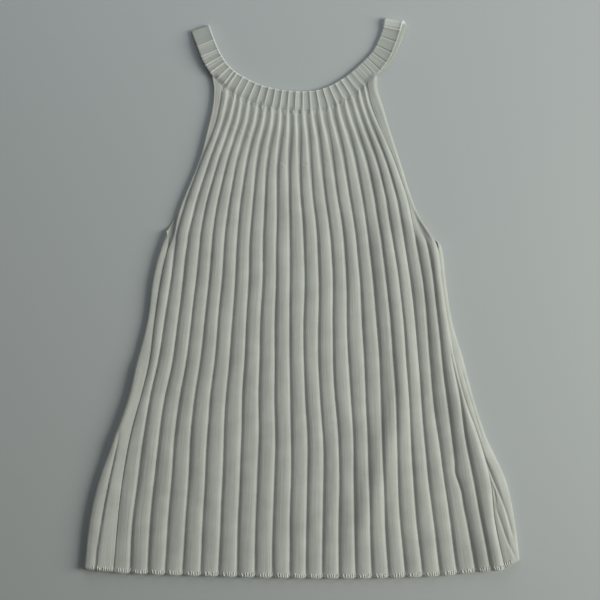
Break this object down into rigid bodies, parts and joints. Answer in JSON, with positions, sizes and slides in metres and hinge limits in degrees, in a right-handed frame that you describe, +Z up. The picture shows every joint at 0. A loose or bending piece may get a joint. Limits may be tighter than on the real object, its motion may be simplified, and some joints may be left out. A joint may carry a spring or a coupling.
{
  "type": "tank top",
  "caption": "Sleeveless A-line tank top in wide rib knit, laid out flat, with a high round neckband that also makes the short shoulder straps.",
  "frame": {"origin": "on the resting plane, under the middle of the garment's outline", "axes": "+X across the garment to its right as seen from above, +Y up the garment towards the neck, +Z up off the surface it lies on"},
  "size_m": [0.4781, 0.6152, 0.0081],
  "materials": {
    "body_knit": "wide rib knit, matt",
    "band_knit": "narrow rib knit, matt"
  },
  "bodies": {
    "root": {"front_panel": "body_knit", "back_panel": "body_knit", "neckband": "band_knit"}
  },
  "joints": []
}
